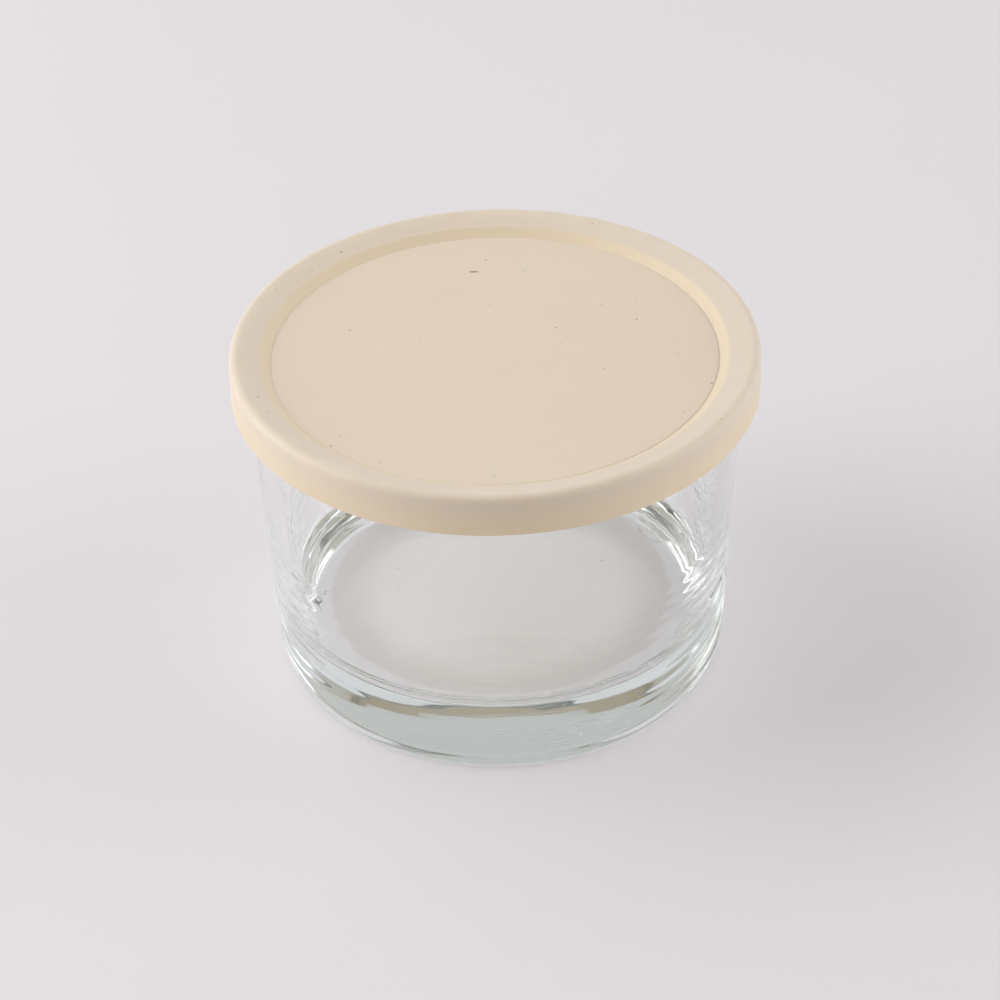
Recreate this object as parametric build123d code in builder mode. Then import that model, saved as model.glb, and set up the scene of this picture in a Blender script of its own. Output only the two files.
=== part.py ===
from build123d import *
import os
from math import atan, cos, degrees, sin

# Round glass storage container: a thick pressed-glass bowl, a press-on plastic lid and
# the silicone ring that seals the two. Millimetres, +Z up, origin at the centre of the
# face the bowl stands on. Every piece is a section in the XZ plane turned about +Z, so a
# section's first number is a radius and its second a height.

# Driving dimensions
LID_RADIUS = 60.0            # outside of the lid's skirt, just under the rounded rim
LID_SKIRT_BOTTOM = 72.6      # height of the skirt's lower edge when the lid is on
GLASS_RADIUS = 56.35         # outside of the wall where it goes under the skirt
GLASS_DRAFT = 0.052          # how much the wall's radius grows per unit of height
GLASS_WALL = 4.5             # thickness of the side wall
GLASS_FLOOR = 14.0           # thickness of the solid base
GLASS_RIM = 77.8             # height of the rim the seal rests on
SEAL_THICKNESS = 1.8

# Glass bowl
HEEL_IN = 1.5                # the heel draws the wall in by this at the bottom
HEEL_UP = 5.2                # height where the heel begins
HEEL_BEND = 8.0              # rounding between the wall and the heel
HEEL_EDGE = 1.5              # rounding between the heel and the foot
FLOOR_CORNER_IN = 14.0       # the quarter ellipse between the floor and the wall inside
FLOOR_CORNER_UP = 8.0
FOOT_RADIUS = 46.5           # inner edge of the flat ring the bowl stands on
FOOT_ARCH = 0.6              # how far the middle of the underside is raised
ARCH_HALFWAY = 0.75          # share of that rise left at half the foot's radius
BEAD_RADIUS = 57.3           # rounded bead round the rim, hidden by the lid
BEAD_HEIGHT = 3.6
BEAD_RUN = 1.2               # height of the slope from the wall out to the bead
BEAD_BLEND = 1.0             # rounding where the wall, the slope and the bead meet
RIM_ROUND = 1.5              # fire-polished edges either side of the rim's flat land

# Lid
SKIRT_FLARE = 0.2            # how much wider the skirt is at its lower edge
SKIRT_WALL = 1.7
RIM_CORNER = 82.95           # height where the lines of the skirt and the rim would meet
RIM_FILLET = 1.7             # rounding of the lid's outer top edge
RIM_INNER_RADIUS = 53.1      # where the sloping rim ends and the step down begins
RIM_INNER_HEIGHT = 80.8
PANEL_RADIUS = 51.0          # the flat panel inside the rim
PANEL_TOP = 79.3
PANEL_THICKNESS = 1.6
PLUG_RADIUS = 51.4           # outside of the ring wall that goes into the bowl's mouth
PLUG_WALL = 1.5
PLUG_BOTTOM = 72.8
PLUG_TAPER = 0.2
SEAT_RADIUS = 53.4           # inner edge of the flat seat for the seal
SNAP_DEPTH = 0.6             # the skirt's inner bead, which keeps 0.4 clear of the glass
SNAP_LOW = 0.5               # heights of that bead's start, crest and end above the edge
SNAP_CREST = 1.3
SNAP_HIGH = 2.4
EDGE_ROUND = 0.4             # small moulded edges of the lid and the seal

# Seal
SEAL_INNER_RADIUS = 53.5
SEAL_OUTER_RADIUS = 58.1


def glass_outer_radius(height):
    """Outside radius of the tapered wall at a height."""
    return GLASS_RADIUS + GLASS_DRAFT * (height - LID_SKIRT_BOTTOM)


def glass_inner_radius(height):
    """Inside radius of the tapered wall at a height."""
    return glass_outer_radius(height) - GLASS_WALL


os.makedirs("parts", exist_ok=True)

# The bowl: a thick base with a shallow arch under it, a heel, a flared wall and a beaded
# rim. Inside, an ellipse that leaves the wall at the wall's own slope runs into the floor.
bead_bottom = GLASS_RIM - BEAD_HEIGHT
corner_start = atan(GLASS_DRAFT * FLOOR_CORNER_UP / FLOOR_CORNER_IN)
corner_centre = GLASS_FLOOR + FLOOR_CORNER_UP
corner_top = corner_centre - FLOOR_CORNER_UP * sin(corner_start)
flat_radius = glass_inner_radius(corner_top) - FLOOR_CORNER_IN * cos(corner_start)
with BuildPart() as glass_body:
    with BuildSketch(Plane.XZ):
        with BuildLine():
            FilletPolyline(
                (FOOT_RADIUS, 0),
                (glass_outer_radius(0) - HEEL_IN, 0),
                (glass_outer_radius(HEEL_UP), HEEL_UP),
                (glass_outer_radius(bead_bottom - BEAD_RUN), bead_bottom - BEAD_RUN),
                (BEAD_RADIUS, bead_bottom),
                (BEAD_RADIUS, GLASS_RIM),
                (glass_inner_radius(GLASS_RIM), GLASS_RIM),
                (glass_inner_radius(corner_top), corner_top),
                radius=[HEEL_EDGE, HEEL_BEND, BEAD_BLEND, BEAD_BLEND, RIM_ROUND, RIM_ROUND],
            )
            EllipticalCenterArc(
                (flat_radius, corner_centre), FLOOR_CORNER_IN, FLOOR_CORNER_UP,
                start_angle=-degrees(corner_start), arc_size=degrees(corner_start) - 90,
            )
            Line((flat_radius, GLASS_FLOOR), (0, GLASS_FLOOR))
            Line((0, GLASS_FLOOR), (0, FOOT_ARCH))
            ThreePointArc(
                (0, FOOT_ARCH), (FOOT_RADIUS / 2, FOOT_ARCH * ARCH_HALFWAY), (FOOT_RADIUS, 0)
            )
        make_face()
    revolve(axis=Axis.Z)
glass_body.part.label = "glass_body"
export_step(glass_body.part, "parts/glass_body.step")

# The lid: a sunk panel, a rounded sloping rim, a skirt outside the glass with a snap bead,
# and a plug wall inside it. Its underside is a channel whose flat seat holds the seal.
seat_height = GLASS_RIM + SEAL_THICKNESS
panel_bottom = PANEL_TOP - PANEL_THICKNESS
skirt_inner = LID_RADIUS - SKIRT_WALL
with BuildPart() as lid:
    with BuildSketch(Plane.XZ):
        with BuildLine():
            FilletPolyline(
                (0, PANEL_TOP),
                (PANEL_RADIUS, PANEL_TOP),
                (RIM_INNER_RADIUS, RIM_INNER_HEIGHT),
                (LID_RADIUS, RIM_CORNER),
                (LID_RADIUS + SKIRT_FLARE, LID_SKIRT_BOTTOM),
                (skirt_inner, LID_SKIRT_BOTTOM),
                (skirt_inner, LID_SKIRT_BOTTOM + SNAP_LOW),
                (skirt_inner - SNAP_DEPTH, LID_SKIRT_BOTTOM + SNAP_CREST),
                (skirt_inner, LID_SKIRT_BOTTOM + SNAP_HIGH),
                (skirt_inner, seat_height),
                (SEAT_RADIUS, seat_height),
                (PLUG_RADIUS, panel_bottom),
                (PLUG_RADIUS - PLUG_TAPER, PLUG_BOTTOM),
                (PLUG_RADIUS - PLUG_WALL, PLUG_BOTTOM),
                (PLUG_RADIUS - PLUG_WALL - PLUG_TAPER, panel_bottom),
                (0, panel_bottom),
                radius=[EDGE_ROUND, EDGE_ROUND, RIM_FILLET, EDGE_ROUND, 0, 0, EDGE_ROUND, 0,
                        0, 0, EDGE_ROUND, EDGE_ROUND, EDGE_ROUND, EDGE_ROUND],
            )
            Line((0, panel_bottom), (0, PANEL_TOP))
        make_face()
    revolve(axis=Axis.Z)
lid.part.label = "lid"
export_step(lid.part, "parts/lid.step")

# The seal: a flat silicone ring on the lid's seat, its lower edges rounded
with BuildPart() as seal_ring:
    with BuildSketch(Plane.XZ):
        with BuildLine():
            FilletPolyline(
                (SEAL_INNER_RADIUS, seat_height),
                (SEAL_INNER_RADIUS, GLASS_RIM),
                (SEAL_OUTER_RADIUS, GLASS_RIM),
                (SEAL_OUTER_RADIUS, seat_height),
                radius=EDGE_ROUND,
            )
            Line((SEAL_OUTER_RADIUS, seat_height), (SEAL_INNER_RADIUS, seat_height))
        make_face()
    revolve(axis=Axis.Z)
seal_ring.part.label = "seal_ring"
export_step(seal_ring.part, "parts/seal_ring.step")
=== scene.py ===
import bpy
import math
from mathutils import Matrix, Vector, noise


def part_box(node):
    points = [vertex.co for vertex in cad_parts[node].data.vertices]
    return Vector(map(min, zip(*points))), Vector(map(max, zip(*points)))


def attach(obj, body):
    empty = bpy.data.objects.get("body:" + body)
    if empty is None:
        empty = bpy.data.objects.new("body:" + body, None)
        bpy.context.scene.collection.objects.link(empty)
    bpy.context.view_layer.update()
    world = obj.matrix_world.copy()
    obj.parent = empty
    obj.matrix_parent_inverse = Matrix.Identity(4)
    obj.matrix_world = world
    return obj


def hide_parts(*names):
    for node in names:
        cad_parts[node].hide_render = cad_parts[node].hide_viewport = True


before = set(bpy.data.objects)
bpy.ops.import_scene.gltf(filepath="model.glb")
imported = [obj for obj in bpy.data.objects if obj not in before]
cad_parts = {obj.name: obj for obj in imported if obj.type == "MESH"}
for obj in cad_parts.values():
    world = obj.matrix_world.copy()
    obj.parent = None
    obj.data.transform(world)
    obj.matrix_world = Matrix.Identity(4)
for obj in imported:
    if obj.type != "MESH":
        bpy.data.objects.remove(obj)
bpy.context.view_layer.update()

MM = 0.001
TURN_STEPS = 288             # steps round every turned piece


# ---------------------------------------------------------------- helpers: shapes

def rounded(corners, steps=10):
    """Section points from (radius, height, rounding) corners, each corner an arc."""
    points = []
    last = len(corners) - 1
    for i, (r, z, rounding) in enumerate(corners):
        corner = Vector((r, z))
        if rounding == 0 or i in (0, last):
            points.append(corner)
            continue
        to_prev = (Vector(corners[i - 1][:2]) - corner).normalized()
        to_next = (Vector(corners[i + 1][:2]) - corner).normalized()
        half = to_prev.angle(to_next) / 2
        cut = rounding / math.tan(half)
        centre = corner + (to_prev + to_next).normalized() * (rounding / math.sin(half))
        start = corner + to_prev * cut - centre
        sweep = start.angle_signed(corner + to_next * cut - centre)
        for k in range(steps + 1):
            points.append(centre + Matrix.Rotation(-sweep * k / steps, 2) @ start)
    return points


def densify(points, spacing):
    """The same section with its long straight runs cut into short ones."""
    out = [points[0]]
    for a, b in zip(points, points[1:]):
        pieces = max(1, math.ceil((b - a).length / spacing))
        out += [a.lerp(b, k / pieces) for k in range(1, pieces + 1)]
    return out


def turned(name, section, closed, shift=None):
    """A smooth mesh of a section in millimetres turned about Z. An open section starts and
    ends on the axis. shift(r, z, angle, i) moves a point outwards and up."""
    vertices = []
    faces = []
    rings = []
    for i, p in enumerate(section):
        if p.x < 1e-6:
            rings.append([len(vertices)])
            vertices.append((0, 0, p.y * MM))
            continue
        rings.append(range(len(vertices), len(vertices) + TURN_STEPS))
        for k in range(TURN_STEPS):
            angle = 2 * math.pi * k / TURN_STEPS
            dr, dz = shift(p.x, p.y, angle, i) if shift else (0, 0)
            r = (p.x + dr) * MM
            vertices.append((r * math.cos(angle), r * math.sin(angle), (p.y + dz) * MM))
    pairs = list(zip(rings, rings[1:]))
    if closed:
        pairs.append((rings[-1], rings[0]))
    for low, high in pairs:
        for k in range(TURN_STEPS):
            n = (k + 1) % TURN_STEPS
            if len(low) == 1:
                faces.append((low[0], high[n], high[k]))
            elif len(high) == 1:
                faces.append((low[k], low[n], high[0]))
            else:
                faces.append((low[k], low[n], high[n], high[k]))
    mesh = bpy.data.meshes.new(name)
    mesh.from_pydata(vertices, [], faces)
    mesh.validate()
    mesh.shade_smooth()
    piece = bpy.data.objects.new(name, mesh)
    bpy.context.scene.collection.objects.link(piece)
    return piece


# ---------------------------------------------------------------- the glass bowl

LID_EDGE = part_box("lid")[0].z / MM          # lower edge of the lid's skirt
RIM_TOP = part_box("glass_body")[1].z / MM
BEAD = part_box("glass_body")[1].x / MM
GLASS_RADIUS = 56.35         # outside of the wall at the height of the lid's edge
DRAFT = 0.052                # how much that radius grows per unit of height
WALL = 4.5
FLOOR = 14.0                 # thickness of the base
HEEL_IN = 1.5                # the heel draws the wall in at the bottom
HEEL_UP = 5.2
HEEL_BEND = 8.0
HEEL_EDGE = 1.5
FOOT = 46.5                  # inner radius of the flat ring it stands on
FOOT_LAND = 0.3
ARCH = 0.6                   # rise of the underside's middle
ARCH_STEPS = 40
CORNER_IN = 14.0             # the quarter ellipse between the floor and the wall
CORNER_UP = 8.0
CORNER_STEPS = 24
BEAD_HEIGHT = 3.6
BEAD_RUN = 1.2
BEAD_BLEND = 1.0
RIM_ROUND = 2.3
GLASS_SPACING = 0.5          # distance between the section's points

RING_DEPTH = 0.19            # rings pressed round the side walls
RING_PITCH = 3.6
RING_TOP = 46.0              # they fade from here upwards ...
RING_FADE = 18.0             # ... over this height
SWELL_DEPTH = 0.04           # slow swells of the walls
SWELL_PITCH = 14.0
FLOW_DEPTH = 0.014           # faint waves of the floor and the underside
FLOW_PITCH = 7.0
HOLD_TOP = 6.0               # no waves within this of the lid's edge ...
HOLD_FOOT = 48.5             # ... or of the middle of the foot ring
HOLD_WIDTH = 3.0


def outer(z):
    return GLASS_RADIUS + DRAFT * (z - LID_EDGE)


def inner(z):
    return outer(z) - WALL


corner = []
corner_start = math.atan(DRAFT * CORNER_UP / CORNER_IN)
corner_top = FLOOR + CORNER_UP * (1 - math.sin(corner_start))
flat = inner(corner_top) - CORNER_IN * math.cos(corner_start)
for k in range(CORNER_STEPS + 1):
    turn = corner_start + (math.pi / 2 - corner_start) * k / CORNER_STEPS
    corner.append((flat + CORNER_IN * math.cos(turn), FLOOR + CORNER_UP * (1 - math.sin(turn)), 0))
arch = []
for k in range(ARCH_STEPS + 1):
    share = k / ARCH_STEPS
    arch.append(Vector((FOOT * share, ARCH * (1 - share ** 2))))
bead_bottom = RIM_TOP - BEAD_HEIGHT
glass_section = densify(arch + rounded([
    (FOOT + FOOT_LAND, 0, 0),
    (outer(0) - HEEL_IN, 0, HEEL_EDGE),
    (outer(HEEL_UP), HEEL_UP, HEEL_BEND),
    (outer(bead_bottom - BEAD_RUN), bead_bottom - BEAD_RUN, BEAD_BLEND),
    (BEAD, bead_bottom, BEAD_BLEND),
    (BEAD, RIM_TOP, RIM_ROUND),
    (inner(RIM_TOP), RIM_TOP, RIM_ROUND),
    *corner,
    (0, FLOOR, 0),
], steps=14), GLASS_SPACING)

normals = []
for k in range(len(glass_section)):
    run = glass_section[min(k + 1, len(glass_section) - 1)] - glass_section[max(k - 1, 0)]
    normals.append(Vector((run.y, -run.x)).normalized())
rim_index = max(range(len(glass_section)), key=lambda k: glass_section[k].y)


def held(value):
    """value kept between 0 and 1."""
    return min(1, max(0, value))


def ring_strength(x, y, z, inside):
    """How strong the rings are: most on the right and left walls, low down and in front."""
    strong = 0.03 + max(0, x) ** 4 + 0.5 * max(0, -x) ** 6
    strong *= 0.06 + 0.94 * held((RING_TOP - z) / RING_FADE)
    strong *= 0.5 - 0.5 * math.tanh(5 * (y - 0.3))
    return strong * (0.1 if inside else 1.0)


def glass_ripple(r, z, angle, i):
    """The pressed glass's faint waves, in millimetres along the surface's normal."""
    x = math.cos(angle)
    y = math.sin(angle)
    inside = i > rim_index
    side = 60.0 if inside else 0.0      # the inside takes its noise from another place
    wander = 0.5 * noise.noise(Vector((1.5 * x, 1.5 * y, z / 9 + side)))
    rings = ring_strength(x, y, z, inside) * math.sin(2 * math.pi * (z / RING_PITCH + wander))
    swell = noise.noise(Vector((2.2 * x, 2.2 * y, z / SWELL_PITCH + side + 30)))
    flow = noise.noise(Vector((r * x / FLOW_PITCH, r * y / FLOW_PITCH, side + z / 20)))
    flow *= 0.4 if inside else 1.0
    upright = abs(normals[i].x)
    push = upright * (RING_DEPTH * rings + SWELL_DEPTH * swell) + (1 - upright) * FLOW_DEPTH * flow
    push *= held((LID_EDGE - z) / HOLD_TOP)
    if z < 1:
        push *= held(abs(r - HOLD_FOOT) / HOLD_WIDTH)
    return normals[i].x * push, normals[i].y * push


glass = turned("glass_bowl", glass_section, closed=False, shift=glass_ripple)
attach(glass, "bowl")
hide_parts("glass_body")

# ---------------------------------------------------------------- the lid

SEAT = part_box("seal_ring")[1].z / MM
PANEL = 79.3                 # top of the sunk panel
PANEL_EDGE = 50.8            # a hairline groove round the panel
GROOVE_DEPTH = 0.16
GROOVE_HALF = 0.25
UNDER = PANEL - 1.6
STEP_TOP = (53.1, 80.8)      # where the step up from the panel ends
RIM_CORNER = (60.0, 82.95)   # where the lines of the rim and the skirt would meet
RIM_FILLET = 1.7
SKIRT_OUT = 60.2
SKIRT_IN = 58.3
SNAP_DEPTH = 0.6             # the snap bead inside the skirt
SNAP_HEIGHTS = (0.5, 1.3, 2.4)
SEAT_IN = 53.4
PLUG_OUT = 51.4              # the ring wall inside the bowl's mouth
PLUG_IN = 49.7
PLUG_TAPER = 0.2
PLUG_END = 72.8
EDGE = 0.4                   # rounding of small edges
LID_SPACING = 1.5

snap_start, snap_crest, snap_end = SNAP_HEIGHTS
lid_section = densify(rounded([
    (0, PANEL, 0),
    (PANEL_EDGE - GROOVE_HALF, PANEL, 0.1),
    (PANEL_EDGE, PANEL - GROOVE_DEPTH, 0.08),
    (PANEL_EDGE + GROOVE_HALF, PANEL + 0.02, 0.1),
    (*STEP_TOP, EDGE),
    (*RIM_CORNER, RIM_FILLET),
    (SKIRT_OUT, LID_EDGE, EDGE),
    (SKIRT_IN, LID_EDGE, 0.3),
    (SKIRT_IN, LID_EDGE + snap_start, 0),
    (SKIRT_IN - SNAP_DEPTH, LID_EDGE + snap_crest, EDGE),
    (SKIRT_IN, LID_EDGE + snap_end, 0),
    (SKIRT_IN, SEAT, 0.2),
    (SEAT_IN, SEAT, 0),
    (PLUG_OUT, UNDER, 0),
    (PLUG_OUT - PLUG_TAPER, PLUG_END, EDGE),
    (PLUG_IN + PLUG_TAPER, PLUG_END, EDGE),
    (PLUG_IN, UNDER, EDGE),
    (0, UNDER, 0),
], steps=8), LID_SPACING)[::-1]
lid = turned("lid_cover", lid_section, closed=False)
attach(lid, "lid")
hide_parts("lid")

# ---------------------------------------------------------------- the seal

SEAL_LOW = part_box("seal_ring")[0].z / MM
SEAL_IN = 53.5
SEAL_OUT = 58.1
SEAL_MIDDLE = (SEAL_IN + SEAL_OUT) / 2
SEAL_GAP = 0.01              # keeps it off the seat and the glass rim
SEAL_SPACING = 1.0

top = SEAT - SEAL_GAP
bottom = SEAL_LOW + SEAL_GAP
seal_section = densify(rounded([
    (SEAL_MIDDLE, top, 0),
    (SEAL_IN, top, 0.2),
    (SEAL_IN, bottom, 0.5),
    (SEAL_OUT, bottom, 0.5),
    (SEAL_OUT, top, 0.2),
    (SEAL_MIDDLE + 0.1, top, 0),
], steps=6), SEAL_SPACING)
seal = turned("seal", seal_section, closed=True)
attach(seal, "lid")
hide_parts("seal_ring")

# ---------------------------------------------------------------- materials


class Nodes:
    """A material's node tree, with short calls for the nodes used here."""

    def __init__(self, name):
        self.material = bpy.data.materials.new(name)
        self.material.use_nodes = True
        self.tree = self.material.node_tree
        self.shader = self.tree.nodes["Principled BSDF"]
        self.output = self.tree.nodes["Material Output"]
        self.place = self.add("ShaderNodeTexCoord").outputs["Object"]

    def add(self, kind, settings=None, **inputs):
        """A new node. Keywords are its inputs, with _ for a space; values or sockets."""
        new = self.tree.nodes.new(kind)
        for key, value in (settings or {}).items():
            setattr(new, key, value)
        for key, value in inputs.items():
            self.put(new.inputs[key.replace("_", " ")], value)
        return new

    def put(self, socket, value):
        if isinstance(value, bpy.types.NodeSocket):
            self.tree.links.new(value, socket)
        else:
            socket.default_value = value

    def maths(self, operation, a, b=0.0):
        new = self.tree.nodes.new("ShaderNodeMath")
        new.operation = operation
        self.put(new.inputs[0], a)
        self.put(new.inputs[1], b)
        return new.outputs[0]

    def noise(self, scale, detail=2.0, stretch=(1, 1, 1), turn=0.0):
        """Noise of a feature size of 1 / scale metres, from 0 to 1."""
        where = self.add("ShaderNodeMapping", Vector=self.place, Scale=stretch,
                         Rotation=(0, 0, turn))
        made = self.add("ShaderNodeTexNoise", Vector=where.outputs[0], Scale=scale, Detail=detail)
        return made.outputs[0]

    def step(self, value, low, high, to_low=0.0, to_high=1.0):
        """value taken from low..high to to_low..to_high, held outside it."""
        made = self.add("ShaderNodeMapRange", {"interpolation_type": "SMOOTHSTEP"}, Value=value,
                        From_Min=low, From_Max=high, To_Min=to_low, To_Max=to_high)
        return made.outputs[0]

    def blend(self, factor, a, b):
        """The colour a where factor is 0 and b where it is 1."""
        made = self.add("ShaderNodeMix", {"data_type": "RGBA"})
        self.put(made.inputs["Factor"], factor)
        self.put(made.inputs[6], a)
        self.put(made.inputs[7], b)
        return made.outputs[2]

    def specks(self, scale, size, share, stretch=(1, 1, 1)):
        """Round specks in plan: this share of the cells of 1 / scale metres has one."""
        where = self.add("ShaderNodeMapping", Vector=self.place, Scale=stretch)
        cells = self.add("ShaderNodeTexVoronoi", {"voronoi_dimensions": "2D"},
                         Vector=where.outputs[0], Scale=scale)
        near = self.step(cells.outputs["Distance"], size * 0.6, size, 1.0, 0.0)
        pick = self.add("ShaderNodeSeparateXYZ", Vector=cells.outputs["Color"]).outputs[0]
        return self.maths("MULTIPLY", near, self.maths("GREATER_THAN", pick, 1 - share))

    def scratches(self, turn, width):
        """Hairlines along one direction, broken up into short lengths."""
        lines = self.noise(16, 1.0, (1, 26, 1), turn)
        ridge = self.maths("ABSOLUTE", self.maths("SUBTRACT", lines, 0.5))
        thin = self.step(ridge, 0.0, width, 1.0, 0.0)
        return self.maths("MULTIPLY", thin, self.step(self.noise(60, 1.0), 0.56, 0.62))

    def soften(self, weight, radius):
        """Light sinks this far into the surface, in metres of red, green and blue."""
        self.shader.inputs["Subsurface Weight"].default_value = weight
        self.shader.inputs["Subsurface Radius"].default_value = radius
        self.shader.inputs["Subsurface Scale"].default_value = 1.0

    def axis_parts(self):
        """Sockets of the distance from the Z axis and of the height, in metres."""
        flat = self.add("ShaderNodeMapping", Vector=self.place, Scale=(1, 1, 0))
        radius = self.add("ShaderNodeVectorMath", {"operation": "LENGTH"}, Vector=flat.outputs[0])
        height = self.add("ShaderNodeSeparateXYZ", Vector=self.place).outputs[2]
        return radius.outputs["Value"], height

    def bump(self, height, depth, strength=1.0, onto=None):
        made = self.add("ShaderNodeBump", Height=height, Distance=depth, Strength=strength)
        if onto is not None:
            self.put(made.inputs["Normal"], onto)
        return made.outputs[0]


CLEAR = (1, 1, 1, 1)
SMEAR = (0.985, 0.988, 0.985, 1)
# painted light on the bowl's inside floor: a warm tint for light from the cream lid, and a darker ring
# for the shadow where the corner bends light away
PAINTED_LID_LIGHT = (1.0, 0.985, 0.93, 1)
PAINTED_CORNER_SHADOW = (0.77, 0.73, 0.67, 1)
UNDER_LIGHT = (1.0, 0.965, 0.915, 1)
GLASS_TINT = (0.55, 0.77, 0.7, 1)
GLASS_TINT_DENSITY = 3.0
GLASS_IOR = 1.517
MARK_DEPTH = 0.00012
PANEL_CREAM = (0.745, 0.655, 0.560, 1)
# painted shade: a deeper, more saturated cream for the skirt and the step round the panel, which lie in
# shade; the lid itself is one cream all over
PAINTED_SHADE_CREAM = (0.795, 0.672, 0.508, 1)
MOTTLE_CREAM = (0.70, 0.595, 0.49, 1)
GRAIN_CREAM = (0.62, 0.52, 0.39, 1)
WORN_CREAM = (0.88, 0.82, 0.72, 1)
SCRATCH_CREAM = (0.95, 0.92, 0.86, 1)
SPECK_BROWN = (0.16, 0.12, 0.09, 1)
SILICONE_LIGHT = (0.80, 0.79, 0.75, 1)
SILICONE_DARK = (0.74, 0.73, 0.69, 1)
TABLE_LIGHT = (0.768, 0.755, 0.802, 1)
TABLE_DARK = (0.752, 0.741, 0.786, 1)


def painted_floor_light(n, radius, height):
    """A factor and a colour painted on the bowl's inside floor: a warm tint standing in for light from
    the cream lid, darker towards its edge as a painted shadow where the corner bends light away.
    """
    painted_floor_mask = n.maths("MULTIPLY", n.maths("GREATER_THAN", height, 0.0135),
                       n.step(radius, 0.0395, 0.0415, 1.0, 0.0))
    painted_floor_mask = n.maths("MULTIPLY", painted_floor_mask, n.maths("LESS_THAN", height, 0.0175))
    return painted_floor_mask, n.blend(n.step(radius, 0.027, 0.0385), PAINTED_LID_LIGHT, PAINTED_CORNER_SHADOW)


def chill_marks(n, radius, height):
    """Short lines left low in the base by the cold mould."""
    ridge = n.maths("ABSOLUTE", n.maths("SUBTRACT", n.noise(75, 1.0, (1, 1, 7)), 0.5))
    broken = n.step(n.noise(48, 0.0), 0.6, 0.66)
    marks = n.maths("MULTIPLY", n.step(ridge, 0.0, 0.012, 1.0, 0.0), broken)
    marks = n.maths("MULTIPLY", marks, n.step(height, 0.0120, 0.0138, 1.0, 0.0))
    return n.maths("MULTIPLY", marks, n.step(radius, 0.042, 0.046))


def light_through(n, radius, height):
    """What a lamp's light keeps on its way through: less at a glancing angle, and less and
    warmer through the underside, which bends light away near the foot."""
    facing = n.add("ShaderNodeLayerWeight", Blend=0.5).outputs["Facing"]
    under = n.maths("LESS_THAN", height, 0.001)
    bent = n.maths("MULTIPLY", n.step(radius, 0.028, 0.047, 0.0, 0.26), under)
    let_in = n.maths("SUBTRACT", 0.99, n.maths("MULTIPLY", n.maths("POWER", facing, 5.0), 0.3))
    dim = n.add("ShaderNodeVectorMath", {"operation": "SCALE"})
    n.put(dim.inputs[0], n.blend(under, CLEAR, UNDER_LIGHT))
    n.put(dim.inputs["Scale"], n.maths("SUBTRACT", let_in, bent))
    return n.add("ShaderNodeBsdfTransparent", Color=dim.outputs[0]).outputs[0]


def glass_material():
    n = Nodes("clear glass")
    shader = n.shader
    shader.inputs["IOR"].default_value = GLASS_IOR
    shader.inputs["Transmission Weight"].default_value = 1.0
    radius, height = n.axis_parts()
    smear = n.step(n.noise(38, 3.0), 0.52, 0.74)
    # painted light and shadow: the floor's warm tint and darker edge ring stand in for lid light and
    # corner shadow
    painted_floor_mask, painted_floor_tint = painted_floor_light(n, radius, height)
    n.put(shader.inputs["Base Color"], n.blend(painted_floor_mask, n.blend(smear, CLEAR, SMEAR), painted_floor_tint))
    foot_wear = n.step(height, 0.0, 0.0003, 0.08, 0.0)
    n.put(shader.inputs["Roughness"], n.maths("ADD", n.maths("MULTIPLY", smear, 0.012), foot_wear))
    marks = n.maths("MAXIMUM", chill_marks(n, radius, height), n.specks(80, 0.03, 0.10))
    n.put(shader.inputs["Normal"], n.bump(marks, MARK_DEPTH))
    mix = n.tree.nodes.new("ShaderNodeMixShader")
    n.put(mix.inputs[0], n.add("ShaderNodeLightPath").outputs["Is Shadow Ray"])
    n.put(mix.inputs[1], shader.outputs[0])
    n.put(mix.inputs[2], light_through(n, radius, height))
    n.put(n.output.inputs["Surface"], mix.outputs[0])
    tint = n.add("ShaderNodeVolumeAbsorption", Color=GLASS_TINT, Density=GLASS_TINT_DENSITY)
    n.put(n.output.inputs["Volume"], tint.outputs[0])
    return n.material


def lid_material():
    n = Nodes("cream plastic")
    radius, height = n.axis_parts()
    # painted shade: the skirt and the step round the panel take the deeper cream because they lie in
    # shade
    skirt = n.step(height, 0.0750, 0.0812, 1.0, 0.0)
    slope = n.maths("MULTIPLY", n.step(radius, 0.0507, 0.0512), n.step(radius, 0.0524, 0.0540, 1.0, 0.0))
    cream = n.blend(n.maths("MAXIMUM", skirt, slope), PANEL_CREAM, PAINTED_SHADE_CREAM)
    mottle = n.step(n.noise(34, 4.0), 0.3, 0.7)
    cream = n.blend(n.maths("MULTIPLY", mottle, 0.22), cream, MOTTLE_CREAM)
    grain = n.noise(2600, 2.0)
    cream = n.blend(n.step(grain, 0.45, 0.8, 0.0, 0.16), cream, GRAIN_CREAM)
    worn = n.maths("MULTIPLY", n.step(height, 0.0811, 0.0821), n.step(n.noise(160, 3.0), 0.4, 0.65))
    cream = n.blend(n.maths("MULTIPLY", worn, 0.12), cream, WORN_CREAM)
    specks = n.maths("MAXIMUM", n.specks(120, 0.024, 0.13), n.specks(61, 0.018, 0.22))
    specks = n.maths("MAXIMUM", specks, n.specks(70, 0.030, 0.12, (0.3, 1, 1)))
    cream = n.blend(n.maths("MULTIPLY", specks, 0.75), cream, SPECK_BROWN)
    scratches = n.maths("MAXIMUM", n.scratches(0.5, 0.004), n.scratches(2.1, 0.003))
    cream = n.blend(n.maths("MULTIPLY", scratches, 0.10), cream, SCRATCH_CREAM)
    n.put(n.shader.inputs["Base Color"], cream)
    rough = n.step(n.noise(70, 4.0), 0.3, 0.7, 0.44, 0.56)
    n.put(n.shader.inputs["Roughness"], n.maths("SUBTRACT", rough, n.maths("MULTIPLY", scratches, 0.1)))
    fine = n.bump(grain, 0.00004, 0.35)
    n.put(n.shader.inputs["Normal"], n.bump(scratches, -0.00003, 0.6, fine))
    n.soften(0.15, (0.004, 0.003, 0.002))
    return n.material


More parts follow.
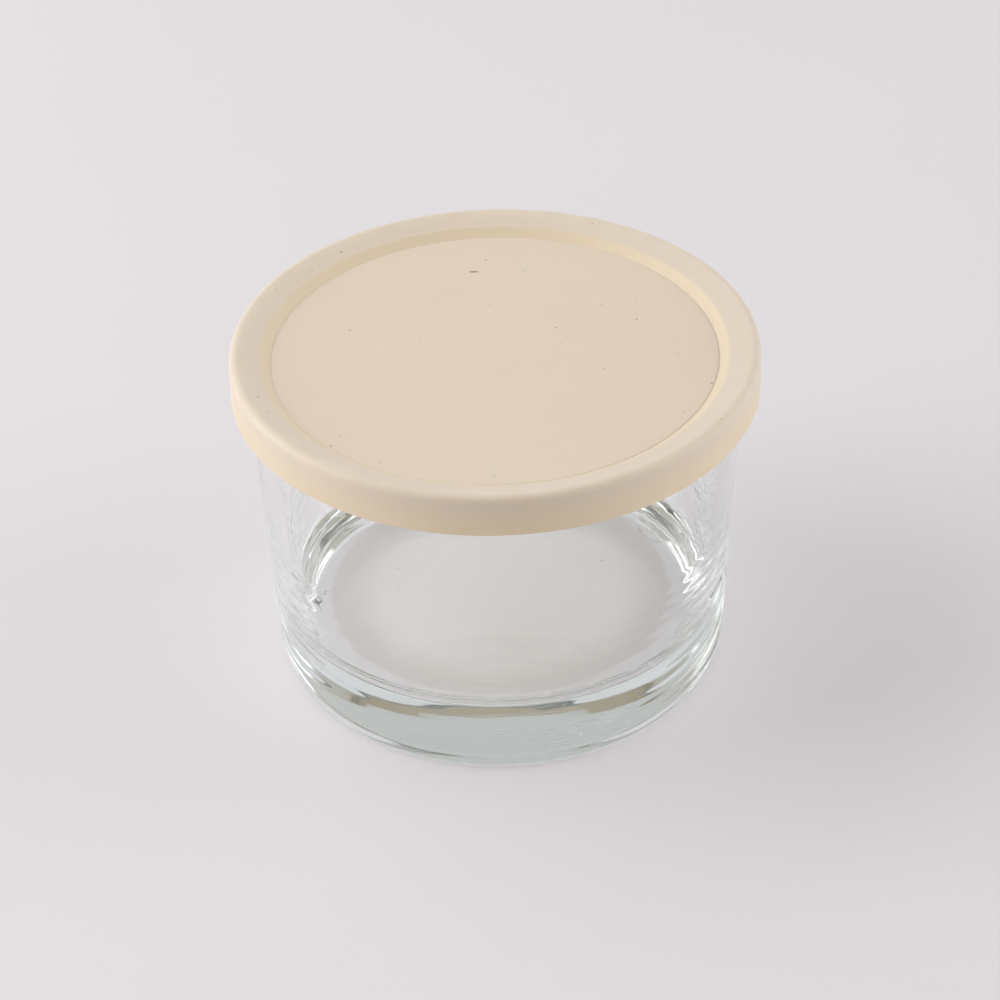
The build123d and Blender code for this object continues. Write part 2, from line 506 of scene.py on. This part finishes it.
def seal_material():
    n = Nodes("silicone")
    cloud = n.step(n.noise(120, 3.0), 0.3, 0.7)
    n.put(n.shader.inputs["Base Color"], n.blend(cloud, SILICONE_LIGHT, SILICONE_DARK))
    n.put(n.shader.inputs["Roughness"], n.step(n.noise(300, 3.0), 0.3, 0.7, 0.36, 0.48))
    n.put(n.shader.inputs["Normal"], n.bump(n.noise(1800, 2.0), 0.00002, 0.4))
    n.soften(0.35, (0.002, 0.0018, 0.0014))
    return n.material


def floor_material():
    n = Nodes("floor")
    tone = n.step(n.noise(3.0, 3.0), 0.3, 0.7)
    n.put(n.shader.inputs["Base Color"], n.blend(tone, TABLE_DARK, TABLE_LIGHT))
    n.shader.inputs["Roughness"].default_value = 0.7
    n.shader.inputs["Specular IOR Level"].default_value = 0.2
    return n.material


glass.data.materials.append(glass_material())
lid.data.materials.append(lid_material())
seal.data.materials.append(seal_material())

# ---------------------------------------------------------------- floor, lights, camera

TABLE_RADIUS = 4.0
TABLE_DROP = 0.00004         # keeps the table just under the bowl's foot
bpy.ops.mesh.primitive_circle_add(vertices=96, radius=TABLE_RADIUS, fill_type="NGON",
                                  location=(0, 0, -TABLE_DROP))
table = bpy.context.object
table.name = "table_top"
table.data.materials.append(floor_material())


def softbox(name, place, size, watts, seen):
    """A square lamp that points at the object. seen says whether it shows through the glass."""
    light = bpy.data.lights.new(name, "AREA")
    light.shape = "RECTANGLE"
    light.size = size
    light.size_y = size
    light.energy = watts
    lamp = bpy.data.objects.new(name, light)
    lamp.location = place
    lamp.visible_transmission = seen
    lamp.rotation_euler = (-Vector(place)).to_track_quat("-Z", "Y").to_euler()
    bpy.context.scene.collection.objects.link(lamp)
    return lamp


LAMP_DISTANCE = 1.6
LAMP_SIZE = 1.0


def around(azimuth, elevation, distance=LAMP_DISTANCE):
    """A place round the object: azimuth 0 is behind it (+Y), 90 on its right (+X)."""
    turn = math.radians(azimuth)
    up = math.radians(elevation)
    flat = math.cos(up) * distance
    return (math.sin(turn) * flat, math.cos(turn) * flat, math.sin(up) * distance)


softbox("left_low", around(270, 20), LAMP_SIZE, 10.9, seen=True)
softbox("left_high", around(270, 45), LAMP_SIZE, 6.0, seen=False)
softbox("back_left", around(315, 45), LAMP_SIZE, 2.6, seen=False)
softbox("right_low", around(90, 20), LAMP_SIZE, 9.6, seen=True)
softbox("right_high", around(90, 45), LAMP_SIZE, 1.2, seen=False)

FRONT_SKY = (0.42, 0.37, 0.29, 1)
BACK_SKY = (0.59, 0.59, 0.60, 1)
SIDE_GLOW = 1.2              # the sky is this much brighter at the far left and right
GLOW_START = 0.6
world = bpy.data.worlds.new("studio")
world.use_nodes = True
bpy.context.scene.world = world
sky = world.node_tree
direction = sky.nodes.new("ShaderNodeTexCoord")
split = sky.nodes.new("ShaderNodeSeparateXYZ")
spread = sky.nodes.new("ShaderNodeMapRange")
spread.inputs["From Min"].default_value = -1.0
tones = sky.nodes.new("ShaderNodeValToRGB")
tones.color_ramp.elements[0].color = FRONT_SKY
tones.color_ramp.elements[1].color = BACK_SKY
sky.links.new(direction.outputs["Generated"], split.inputs[0])
sky.links.new(split.outputs["Y"], spread.inputs["Value"])
sky.links.new(spread.outputs[0], tones.inputs[0])
side = sky.nodes.new("ShaderNodeMath")
side.operation = "ABSOLUTE"
glow = sky.nodes.new("ShaderNodeMapRange")
glow.inputs["From Min"].default_value = GLOW_START
glow.inputs["From Max"].default_value = 1.0
glow.inputs["To Min"].default_value = 1.0
glow.inputs["To Max"].default_value = SIDE_GLOW
sky.links.new(split.outputs["X"], side.inputs[0])
sky.links.new(side.outputs[0], glow.inputs["Value"])
sky.links.new(glow.outputs[0], sky.nodes["Background"].inputs["Strength"])
sky.links.new(tones.outputs[0], sky.nodes["Background"].inputs["Color"])

LID_CENTRE = Vector((0.00033, 0, 0.0808))
DISTANCE = 0.679             # from the lid's centre to the camera
ELEVATION = math.radians(33.18)
PITCH = math.radians(36.08)  # the camera looks this far below the level
ROLL = math.radians(-1.46)
LENS = 108
SENSOR = 36
BOUNCES = 24
camera_data = bpy.data.cameras.new("camera")
camera_data.lens = LENS
camera_data.sensor_width = SENSOR
camera = bpy.data.objects.new("camera", camera_data)
back = Vector((0, -math.cos(ELEVATION), math.sin(ELEVATION)))
camera.location = LID_CENTRE + back * DISTANCE
aim = Matrix.Rotation(math.pi / 2 - PITCH, 3, "X") @ Matrix.Rotation(ROLL, 3, "Z")
camera.rotation_euler = aim.to_euler()
bpy.context.scene.collection.objects.link(camera)
bpy.context.scene.camera = camera

scene = bpy.context.scene
scene.view_settings.view_transform = "Standard"
scene.cycles.max_bounces = BOUNCES
scene.cycles.glossy_bounces = BOUNCES
scene.cycles.transmission_bounces = BOUNCES
scene.cycles.transparent_max_bounces = BOUNCES
